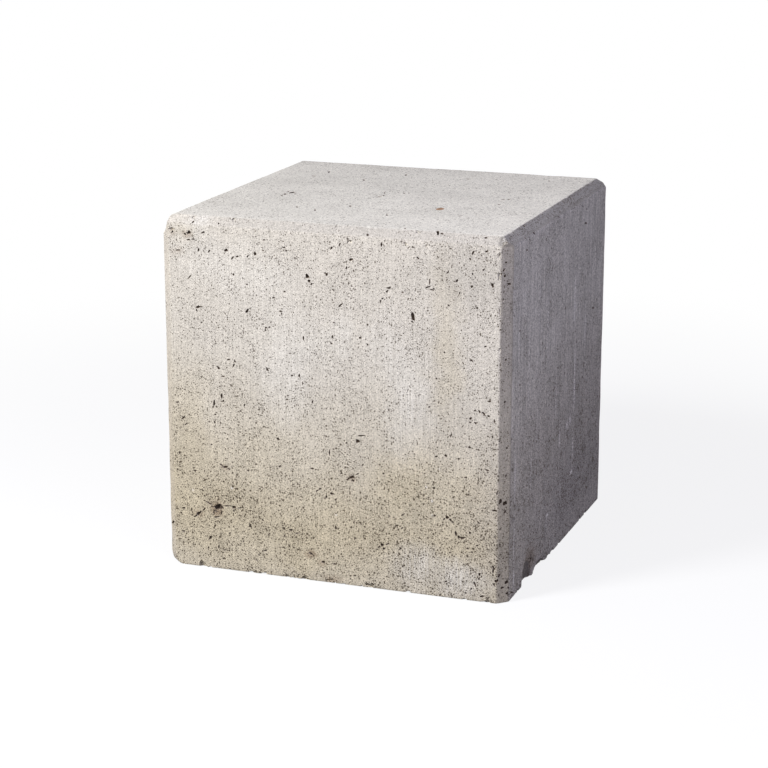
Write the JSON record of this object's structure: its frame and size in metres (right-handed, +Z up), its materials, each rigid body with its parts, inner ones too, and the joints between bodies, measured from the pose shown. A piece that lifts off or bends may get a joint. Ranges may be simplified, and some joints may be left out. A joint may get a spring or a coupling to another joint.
{
  "type": "garden seating block",
  "caption": "Pressed concrete garden seating block: a solid cube with chamfered upright corners and top rim, and a plain flat base to stand on.",
  "frame": {"origin": "middle of the base, on the ground that the block stands on", "axes": "+Z up; -Y is the front wall, which the picture shows full on, and +X is the wall to its right"},
  "size_m": [0.4, 0.4, 0.4],
  "materials": {
    "concrete": "matt, sandy pressed concrete with open pores, drag marks down the walls and pale bloom"
  },
  "bodies": {
    "root": {"seating_block": "concrete"}
  },
  "joints": []
}
